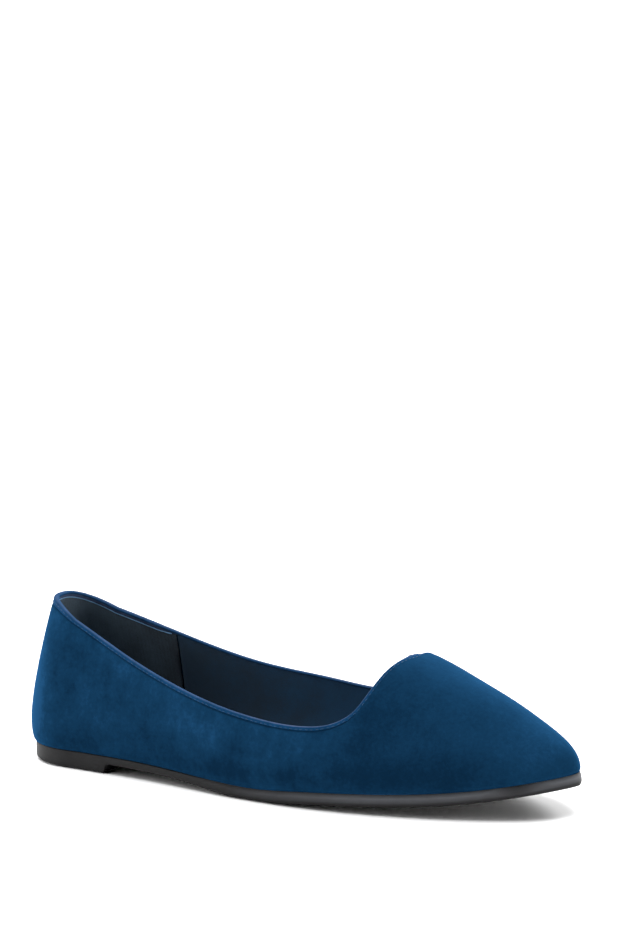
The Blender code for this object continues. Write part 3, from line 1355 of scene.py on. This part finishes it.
@dataclass
class Topline:
    """The strip folded over the upper's edge, the stitches that hold it and the edge of the grip under it.

    Places on the strip's legs are shares of their length, and places round its fold are radians.
    """

    upper: Upper
    columns: int = 840
    outside_leg: float = 1.15
    inside_leg: float = 0.5
    heel_pinch: float = 0.16
    pinch_place: float = 0.45
    pinch_width: float = 0.16
    grip_extra: float = 1.3
    grip_stretch: Span = (48.0, 60.0)
    roll: float = 0.17
    throat_roll: float = 0.04
    swell_start: float = 0.06
    swell_span: float = 0.50
    swell_power: float = 0.6
    tuck: float = 0.16
    tuck_end: float = 0.2
    turned_in: float = 0.30
    turned_from: float = 0.75
    rise: float = 0.55
    shoulder_rise: float = 1.10
    crown_rise: float = 0.15
    dome_rise: float = 1.05
    dome_middle: float = -1.0
    dome_reach: float = 6.5
    # Shares of the strip's paleness: wear and painted highlight along the fold's crest, a paler outer leg
    # round the heel, painted light on the shaded inner leg and a painted highlight along its lower edge over
    # the grip.
    heel_wear_and_highlight: float = 0.42
    wear_and_highlight_stretch: Span = (110.0, 165.0)
    throat_plain_share: float = 0.35
    fold_wear_and_highlight_middle: float = 1.3
    fold_wear_and_highlight_reach: float = 1.1
    leg_paling: float = 0.2
    leg_paling_stretch: Span = (0.1, 0.4)
    inner_painted_light: float = 0.35
    grip_painted_highlight: float = 0.55
    grip_highlight_stretch: Span = (0.05, 0.3)
    lined: float = -1.8
    grip_lined: float = -2.15
    hidden_depth: float = 0.1
    hidden_inside: Span = (-1.5, -1.4)
    hidden_outside: Span = (0.03, -0.2)
    fold_steps: int = 10
    leg_steps: int = 7
    stitch_pitch: float = 2.4
    stitch_length: float = 1.7
    stitch_depth: float = 0.80
    stitch_out: float = 0.12
    thread_radius: float = 0.08
    pucker: float = 0.05
    pucker_stretch: Span = (0.6, 1.6)
    pucker_out: float = 0.1
    weld_distance: float = 0.002
    grip_edge_radius: float = 0.28
    grip_edge_out: float = -1.95
    grip_edge_sides: int = 8

    def __post_init__(self) -> None:
        """Finds the edge's places and normals, evenly spaced round the collar."""
        upper = self.upper
        on_edge = upper.edge_places()
        edge = upper.points[on_edge, -1]
        normals = upper.normals[on_edge, -1]
        ring = np.concatenate((edge, edge[:1]))
        turned = np.concatenate((normals, normals[:1]))
        run = np.concatenate(([0.0], np.cumsum(np.linalg.norm(np.diff(ring, axis=0), axis=1))))
        self.length = float(run[-1])
        even = np.linspace(0.0, self.length, self.columns + 1)
        self.edge = np.stack([np.interp(even, run, ring[:, i]) for i in range(3)], axis=1)
        self.normals = np.stack([np.interp(even, run, turned[:, i]) for i in range(3)], axis=1)
        self.normals /= np.linalg.norm(self.normals, axis=1, keepdims=True)
        ahead = np.roll(self.edge[:-1], -1, axis=0) - np.roll(self.edge[:-1], 1, axis=0)
        ahead = np.concatenate((ahead, ahead[:1]))
        ahead /= np.linalg.norm(ahead, axis=1, keepdims=True)
        self.ahead = ahead
        self.down = np.cross(self.normals, ahead)
        skin = upper.skin(0.0)
        self.tree = BVHTree.FromBMesh(skin)
        skin.free()

    def on_wall(self, column: int, depth: float, out: float) -> np.ndarray:
        """A place beside the wall.

        Args:
            column: Which place along the edge.
            depth: Millimetres down the wall from its edge, negative above it.
            out: Millimetres out from the wall's outside.

        Returns:
            The place in millimetres of the last.
        """
        last = self.upper.last
        place = self.edge[column] + self.down[column] * depth
        if depth > 0:
            found = self.tree.find_nearest(Vector(last.framed(place)))[0]
            place = last.unframed(found)
        rolled_in = self.upper.roll_in(self.edge[column], max(depth, 0.0))
        return place + self.normals[column] * (out - rolled_in)

    def inner_length(self, place: np.ndarray) -> float:
        """How far the strip runs down inside the shoe at a place of the edge, longer round the heel."""
        return self.inside_leg + self.grip_extra * (1 - ease(place[0], *self.grip_stretch))

    def _outer_leg(self, outside: float, roll: float, back: float) -> Profile:
        """The strip's section on the outside of the wall.

        Args:
            outside: How far it runs down.
            roll: How far it swells out.
            back: How near the back of the heel is, from 0 to 1.

        Returns:
            Depth, distance out and paleness of each point, from the lower edge up.
        """
        points = []
        for t in np.linspace(0, 1, self.leg_steps):
            swell = roll * math.sin(math.pi * (self.swell_start + self.swell_span * t)) ** self.swell_power
            pinch = self.heel_pinch * back * math.exp(-(((t - self.pinch_place) / self.pinch_width) ** 2))
            tucked = self.tuck * (1 - ease(t, 0.0, self.tuck_end))
            # The outer leg grows paler towards the fold at the back of the heel.
            worn = self.leg_paling * back * ease(t, *self.leg_paling_stretch)
            points.append((outside * (1 - t), swell - pinch - tucked, worn))
        return points

    def _fold(self, start: float, lined: float, rise: float, wear: float) -> Profile:
        """The strip's section over the wall's edge.

        Args:
            start: Distance out from the wall where the fold starts.
            lined: Distance out where it ends, inside the linings.
            rise: How far it stands above the edge.
            wear: How pale its crest is, from wear and painted highlight.

        Returns:
            Depth, distance out and paleness of each point, from the outside in.
        """
        middle, half = (start + lined) / 2, (start - lined) / 2
        points = []
        for angle in np.linspace(0, math.pi, self.fold_steps)[1:]:
            # The crest is pale from wear and from a painted highlight.
            worn = math.exp(-(((angle - self.fold_wear_and_highlight_middle) / self.fold_wear_and_highlight_reach) ** 4)) * wear
            points.append((-rise * math.sin(angle), middle + half * math.cos(angle), worn))
        return points

    def _inner_leg(self, inside: float, lined: float, grip: float) -> Profile:
        """The strip's section inside the shoe.

        Args:
            inside: How far it runs down.
            lined: Its distance out from the wall, below 0.
            grip: How far the place is on the heel grip, from 0 to 1.

        Returns:
            Depth, distance out and painted light of each point, from the fold down.
        """
        points = []
        for t in np.linspace(0, 1, self.leg_steps)[1:]:
            turned = self.turned_in * (max(t - self.turned_from, 0.0) / (1 - self.turned_from)) ** 2
            # Painted light on the shaded inner leg, and a painted highlight along its lower edge over the
            # heel grip.
            worn = self.inner_painted_light + self.grip_painted_highlight * grip * ease(t, *self.grip_highlight_stretch)
            points.append((inside * t, lined + turned, worn))
        return points

    def profile(self, place: np.ndarray) -> Profile:
        """The strip's closed section at one place.

        Args:
            place: The place on the edge, in millimetres of the last.

        Returns:
            Depth down the wall, distance out from it and how pale it is from wear and painted light, for each
            point.
        """
        back = 1 - ease(place[0], *self.upper.heel_stretch)
        grip = 1 - ease(place[0], *self.grip_stretch)
        shoulder, crown = self.upper.crown(place)
        throat = shoulder + crown
        roll = self.roll + (self.throat_roll - self.roll) * throat
        rise = self.rise + (self.shoulder_rise - self.rise) * shoulder
        rise += (self.crown_rise - self.rise) * crown
        dome = math.exp(-(((place[1] - self.dome_middle) / self.dome_reach) ** 2))
        rise += self.dome_rise * throat * dome
        lined = self.lined + (self.grip_lined - self.lined) * grip
        # Paleness along the fold from wear and painted highlight, less round the heel and at the throat's
        # crown.
        wear = self.heel_wear_and_highlight + (1 - self.heel_wear_and_highlight) * ease(place[0], *self.wear_and_highlight_stretch)
        wear *= 1 - self.throat_plain_share * throat
        outside = self.outside_leg + self.upper.heel_extra * back
        inside = self.inner_length(place)
        outer = self._outer_leg(outside, roll, back)
        fold = self._fold(outer[-1][1], lined, rise, wear)
        inner = self._inner_leg(inside, lined, grip)
        hidden = [
            (inside, self.hidden_inside[0], 0.0),
            (self.hidden_depth, self.hidden_inside[1], 0.0),
            (self.hidden_depth, self.hidden_outside[0], 0.0),
            (outside, self.hidden_outside[1], 0.0),
        ]
        return outer + fold + inner + hidden + outer[:1]

    def build_strip(self, finish: Suede) -> bpy.types.Object:
        """The rolled strip, puckered a little at each stitch.

        Args:
            finish: The suede.

        Returns:
            The piece.
        """
        places, worn = [], []
        for column in range(self.columns + 1):
            travelled = column / self.columns * self.length
            pull = (1 + math.cos(2 * math.pi * travelled / self.stitch_pitch)) / 2
            row = []
            section = self.profile(self.edge[column])
            for depth, out, _ in section:
                hold = ease(depth, *self.pucker_stretch) if out > self.pucker_out else 0.0
                row.append(self.on_wall(column, depth, out - self.pucker * hold * pull))
            places.append(row)
            worn.append([share for _, _, share in section])
        # The worn layer holds the strip's wear and painted light.
        bm = sheet(self.upper.last.framed(np.array(places)), self.weld_distance, worn=np.array(worn))
        turn_out(bm)
        piece = new_piece("rolled_topline", bm, finish.material())
        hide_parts("topline_binding")
        return piece

    def build_grip_edge(self, finish: Thread) -> bpy.types.Object:
        """The cut edge of the heel grip along the strip's inner leg, pale partly as a painted highlight.

        Args:
            finish: The edge's cloth.

        Returns:
            The piece.
        """
        places = []
        for column in range(self.columns + 1):
            if self.edge[column][0] > self.upper.grip_front:
                continue
            depth = self.inner_length(self.edge[column])
            row = []
            for angle in np.linspace(0, 2 * math.pi, self.grip_edge_sides + 1):
                down = depth + self.grip_edge_radius * math.sin(angle)
                out = self.grip_edge_out + self.grip_edge_radius * math.cos(angle)
                row.append(self.on_wall(column, down, out))
            places.append(row)
        bm = sheet(self.upper.last.framed(np.array(places)), self.weld_distance)
        bmesh.ops.holes_fill(bm, edges=bm.edges)
        turn_out(bm)
        return new_piece("grip_edge", bm, finish.material())

    def build_stitches(self, finish: Thread) -> bpy.types.Object:
        """The row of stitches along the strip.

        Args:
            finish: The thread.

        Returns:
            The row as one piece.
        """
        bm = bmesh.new()
        count = round(self.length / self.stitch_pitch)
        sizes = (self.stitch_length / 2, self.thread_radius, self.thread_radius)
        for i in range(count):
            column = round((i + 0.5) / count * self.columns)
            middle = self.on_wall(column, self.stitch_depth, self.stitch_out)
            place = Vector(self.upper.last.framed(middle))
            axes = (self.ahead[column], self.down[column], self.normals[column])
            turn = Matrix([np.array(axis) * size * MM for axis, size in zip(axes, sizes)]).transposed()
            made = bmesh.ops.create_icosphere(bm, subdivisions=1, radius=1.0)
            matrix = Matrix.Translation(place) @ turn.to_4x4()
            bmesh.ops.transform(bm, matrix=matrix, verts=made["verts"])
        turn_out(bm)
        return new_piece("stitches", bm, finish.material())


@dataclass
class Sole:
    """The moulded rubber sole and the sock inside the shoe."""

    last: Last
    seam_gap: float = 0.06
    sock_gap: float = 0.15
    heel_breast: float = 46.3
    breast_slope: float = 2.0
    waist_thickness: float = 3.4
    waist_end: float = 85.0
    ball_thickness: float = 5.4
    ball_start: float = 124.0
    toe_thickness: float = 5.0
    toe_start: float = 205.0
    heel_edge_radius: float = 1.9
    side_edge_radius: float = 0.9
    ball_edge_radius: float = 2.0
    top_bevel: float = 0.25
    ball_bevel: float = 0.75
    bevel_height: float = 1.6
    bevel_power: float = 1.5
    bevel_steps: int = 5
    edge_share: float = 0.8
    sharp_angle: float = 50.0
    heel_edge_end: float = 26.0
    heel_overhang: float = 0.6
    heel_overhang_end: float = 60.0
    toe_lip: float = 0.6
    toe_lip_start: float = 236.0
    sock_thickness: float = 2.4
    sock_inset: float = 2.0
    sock_edge: float = 0.7
    # Painted shade on the rubber: darkest at the lower edge and underside, darker again under the seam with
    # the suede, and along a stretch near the toe.
    painted_shade_from: float = 0.25
    painted_shade_to: float = 0.62
    under_seam_painted_shade: float = 0.6
    seam_from: float = 0.6
    painted_shade_station: float = 240.0
    painted_shade_reach: float = 10.0
    toe_painted_shade: float = 0.85
    edge_steps: int = 8
    across: int = 25
    weld_distance: float = 0.004
    density: Density = field(default_factory=lambda: Density(heel=30, quarter=120, throat=40, toe=70))

    def seat(self, rib_x: float, rib_y: float, station: float) -> np.ndarray:
        """A place of the feather line as it stands on the floor."""
        return self.last.standing(np.array((rib_x, rib_y, self.last.feather(station))))

    def underside(self, station: float) -> float:
        """Height of the sole's underside: heel, breast, waist, flat tread and toe spring.

        Args:
            station: Where to read it.

        Returns:
            Millimetres above the floor.
        """
        ball = ease(station, self.waist_end, self.ball_start)
        toe = ease(station, self.toe_start, self.last.length)
        thickness = self.waist_thickness
        thickness += (self.ball_thickness - self.waist_thickness) * ball
        thickness += (self.toe_thickness - self.ball_thickness) * toe
        under = max(self.seat(station, 0.0, station)[2] - thickness, 0.0)
        return under * ease(station, self.heel_breast, self.heel_breast + self.breast_slope)

    def edge_radius(self, station: float) -> float:
        """Rounding of the lower edge, large under the back of the heel.

        Args:
            station: Where to read it.

        Returns:
            The radius in millimetres.
        """
        side = ease(station, 0.0, self.heel_edge_end)
        ball = ease(station, self.waist_end, self.ball_start)
        radius = self.heel_edge_radius
        radius += (self.side_edge_radius - self.heel_edge_radius) * side
        radius += (self.ball_edge_radius - self.side_edge_radius) * ball
        return radius

    def sole_side(self, rib: Rib) -> np.ndarray:
        """The sole's side at one rib.

        Args:
            rib: The rib.

        Returns:
            The points from its top edge round to the underside, in millimetres above the floor.
        """
        foot = self.seat(rib.foot_x, rib.foot_y, rib.station)
        top = foot[2] - self.seam_gap
        bottom = self.underside(rib.station)
        radius = min(self.edge_radius(rib.station), self.edge_share * (top - bottom))
        lip = self.toe_lip * ease(rib.station, self.toe_lip_start, self.last.length)
        tucked = -self.heel_overhang * (1 - ease(rib.station, 0.0, self.heel_overhang_end))
        ball = ease(rib.station, self.waist_end, self.ball_start)
        bevel = self.top_bevel + (self.ball_bevel - self.top_bevel) * ball
        drop = self.top_bevel + (self.bevel_height - self.top_bevel) * ball
        section = []
        for t in np.linspace(0, 1, self.bevel_steps):
            section.append((tucked - bevel * (1 - t) ** self.bevel_power, top - drop * t))
        for angle in np.linspace(0, math.pi / 2, self.edge_steps):
            out = tucked + radius * (math.cos(angle) - 1)
            section.append((out, bottom + radius * (1 - math.sin(angle))))
        points = np.array(self._beside(rib, section, lip, top, bottom))
        return points + (foot[0] - rib.foot_x, 0.0, 0.0)

    def _beside(
        self, rib: Rib, section: list[Span], lip: float, top: float, bottom: float
    ) -> Profile:
        """Lays a section out from one rib's foot.

        Args:
            rib: The rib.
            section: Distance out from the foot and height, for each point.
            lip: How far the lower edge runs ahead.
            top: Height of the section's top.
            bottom: Height of its underside.

        Returns:
            The points in millimetres of the last.
        """
        reach = math.hypot(rib.foot_x - rib.centre_x, rib.foot_y)
        points = []
        for out, height in section:
            along = max(reach + out, 0.0) / reach if reach > 0 else 0.0
            ahead = lip * (top - height) / (top - bottom)
            x = rib.centre_x + (rib.foot_x - rib.centre_x) * along + ahead
            points.append((x, rib.foot_y * along, height))
        return points

    def sock_side(self, rib: Rib) -> np.ndarray:
        """The sock's side at one rib.

        Args:
            rib: The rib.

        Returns:
            The points from its top round to the underside, in millimetres above the floor.
        """
        bottom = self.last.feather(rib.station) + self.sock_gap
        top = bottom + self.sock_thickness
        edge = self.sock_edge
        section = [
            (edge * (math.sin(a) - 1), top - edge * (1 - math.cos(a)))
            for a in np.linspace(0, math.pi / 2, self.edge_steps)
        ]
        points = np.array(self._beside(rib, section + [(0.0, bottom)], 0.0, top, bottom))
        return self.last.standing(points)

    def painted_shade(self, rings: np.ndarray) -> np.ndarray:
        """Painted shade on the sole: most at its lower edge and underside, some under the seam with the
        suede, and a dark stretch near the toe.

        Args:
            rings: Places round the sole, ring by ring, in millimetres above the floor.

        Returns:
            A share at each place, from 0 to 1.
        """
        low = rings[:, :, 2].min(axis=1, keepdims=True)
        high = rings[:, :, 2].max(axis=1, keepdims=True)
        share = (rings[:, :, 2] - low) / np.maximum(high - low, SLACK)
        low_edge = 1 - np.clip((share - self.painted_shade_from) / (self.painted_shade_to - self.painted_shade_from), 0.0, 1.0)
        under_seam = self.under_seam_painted_shade * np.clip((share - self.seam_from) / (1 - self.seam_from), 0.0, 1.0)
        along = (rings[:, :1, 0] - self.painted_shade_station) / self.painted_shade_reach
        return np.maximum(low_edge, np.maximum(under_seam, self.toe_painted_shade * np.exp(-(along**2))))

    def slab(
        self, side_points: Callable[[Rib], np.ndarray], inset: float, with_painted_shade: bool = False
    ) -> bmesh.types.BMesh:
        """A closed piece between two sides.

        Args:
            side_points: The points down one side at a rib.
            inset: How far the ribs' feet move in.
            with_painted_shade: Whether its painted shade is kept as a vertex layer.

        Returns:
            The closed mesh.
        """
        rings = []
        pairs = zip(
            self.last.ribs(Side.OUTER, self.density, inset),
            self.last.ribs(Side.INNER, self.density, inset),
        )
        shares = np.linspace(0, 1, self.across)[1:-1, None]
        for outer, inner in pairs:
            down = side_points(outer)
            up = side_points(inner)[::-1]
            under = down[-1] + (up[0] - down[-1]) * shares
            over = up[-1] + (down[0] - up[-1]) * shares
            rings.append(np.concatenate((down, under, up, over, down[:1])))
        rings = np.array(rings)
        layers = {"painted_shade": self.painted_shade(rings)} if with_painted_shade else {}
        bm = sheet(self.last.placed(rings), self.weld_distance, **layers)
        trim_flaps(bm)
        turn_out(bm)
        return bm

    def build_rubber(self, finish: Rubber) -> bpy.types.Object:
        """The rubber sole with its moulded heel.

        Args:
            finish: The rubber.

        Returns:
            The piece.
        """
        bm = self.slab(self.sole_side, 0.0, with_painted_shade=True)
        piece = new_piece("rubber_sole", bm, finish.material(self.last))
        piece.data.set_sharp_from_angle(angle=math.radians(self.sharp_angle))
        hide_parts("outsole")
        return piece

    def build_sock(self, finish: Lining) -> bpy.types.Object:
        """The sock that covers the insole board.

        Args:
            finish: The sock's cloth.

        Returns:
            The piece.
        """
        bm = self.slab(self.sock_side, self.sock_inset)
        piece = new_piece("sock", bm, finish.material())
        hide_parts("insole")
        return piece


@dataclass(frozen=True)
class Lamp:
    """A distant soft light."""

    name: str
    comes_from: Triple
    spread: float
    power: float

    def build(self) -> None:
        """Hangs the light."""
        light = bpy.data.lights.new(self.name, "SUN")
        light.angle = math.radians(self.spread)
        light.energy = self.power
        lamp = bpy.data.objects.new(self.name, light)
        lamp.rotation_euler = (-Vector(self.comes_from)).to_track_quat("-Z", "Y").to_euler()
        bpy.context.scene.collection.objects.link(lamp)


LAMPS = (
    Lamp("overhead", (-0.10, 0.05, 1.0), 55.0, 4.5),
    Lamp("low_back", (0.08, 1.00, 0.60), 30.0, 3.9),
    Lamp("low_right", (0.95, 0.30, 0.22), 20.0, 0.9),
    Lamp("front_fill", (-0.30, -1.00, 0.90), 50.0, 0.6),
)


@dataclass
class Studio:
    """The floor, the light and the camera."""

    last: Last
    azimuth: float = 32.107
    elevation: float = 12.764
    roll: float = 1.325
    distance: float = 1875.0
    scale: float = 2.440
    aim: Triple = (128.195, 0.0, 27.706)
    aim_pixel: Span = (301.2, 715.2)
    sensor: float = 36.0
    floor_size: float = 60.0
    floor_drop: float = 0.0003
    floor_white: float = 0.93
    horizon: float = 1.00
    zenith: float = 0.12
    glow: Span = (0.08, 0.30)
    left: float = 2.10
    left_reach: Span = (-1.0, 0.1)
    front_drop: float = 0.70
    front_reach: Span = (-1.0, 0.0)

    def build_floor(self) -> None:
        """A plain white floor."""
        bm = bmesh.new()
        bmesh.ops.create_grid(bm, x_segments=1, y_segments=1, size=self.floor_size / 2)
        bmesh.ops.translate(bm, vec=(0.0, 0.0, -self.floor_drop), verts=bm.verts)
        mesh = bpy.data.meshes.new("floor")
        bm.to_mesh(mesh)
        bm.free()
        floor = bpy.data.objects.new("floor", mesh)
        bpy.context.scene.collection.objects.link(floor)
        n = new_material("floor_white")
        white = (self.floor_white, self.floor_white, self.floor_white, 1.0)
        mesh.materials.append(n.finish(Base_Color=white, Roughness=0.9, Specular_IOR_Level=0.0))

    def build_light(self) -> None:
        """A pale sky, brighter behind the heel and darker towards the camera, and the soft lamps."""
        n = Nodes(bpy.data.worlds.new("studio"), "Background")
        x, y, z = n.split(n.read("ShaderNodeTexCoord", output="Generated"))
        strength = z.ramp(self.glow, (self.horizon, self.zenith))
        strength = strength + x.ramp(self.left_reach, (self.left, 0.0))
        strength = strength + y.ramp(self.front_reach, (-self.front_drop, 0.0))
        bpy.context.scene.world = n.finish(Color=(1.0, 1.0, 1.0, 1.0), Strength=strength)
        for lamp in LAMPS:
            lamp.build()

    def build_camera(self) -> None:
        """A long lens at the photograph's angle, turned so that the shoe stands where it does there."""
        az, el, roll = (math.radians(a) for a in (self.azimuth, self.elevation, self.roll))
        back = Vector((math.sin(az) * math.cos(el), -math.cos(az) * math.cos(el), math.sin(el)))
        right = Vector((math.cos(az), math.sin(az), 0.0))
        up = back.cross(right)
        rolled_right = right * math.cos(roll) - up * math.sin(roll)
        rolled_up = right * math.sin(roll) + up * math.cos(roll)
        level = Matrix((rolled_right, rolled_up, back)).transposed()
        focal = self.scale * self.distance
        to_aim = Vector((self.aim_pixel[0] - PHOTO_WIDTH / 2, PHOTO_HEIGHT / 2 - self.aim_pixel[1], -focal))
        turn = to_aim.rotation_difference(Vector((0.0, 0.0, -1.0))).to_matrix()
        lens = bpy.data.cameras.new("camera")
        lens.sensor_width = self.sensor
        lens.lens = focal * self.sensor / PHOTO_HEIGHT
        camera = bpy.data.objects.new("camera", lens)
        target = Vector(self.last.placed(np.array(self.aim)))
        stand = Matrix.Translation(target + back * self.distance * MM)
        camera.matrix_world = stand @ (level @ turn).to_4x4()
        bpy.context.scene.collection.objects.link(camera)
        bpy.context.scene.camera = camera


def main() -> None:
    """Builds the shoe, dresses it and sets the studio."""
    logging.basicConfig(level=logging.INFO, format="%(name)s: %(message)s")
    last = Last()
    upper = Upper(last)
    topline = Topline(upper)
    sole = Sole(last)
    pieces = [
        upper.build_suede(BLUE_SUEDE),
        upper.build_lining(NAVY_LINING),
        upper.build_grip(GRIP_LINING),
        topline.build_strip(EDGE_SUEDE),
        topline.build_stitches(BLUE_THREAD),
        topline.build_grip_edge(GRIP_EDGE_AND_HIGHLIGHT),
        sole.build_rubber(CHARCOAL_RUBBER),
        sole.build_sock(SOCK_CLOTH),
    ]
    for piece in pieces:
        LOG.info("%s: %d faces", piece.name, len(piece.data.polygons))
    studio = Studio(last)
    studio.build_floor()
    studio.build_light()
    studio.build_camera()
    bpy.context.scene.view_settings.view_transform = "Standard"


if __name__ == "__main__":
    main()
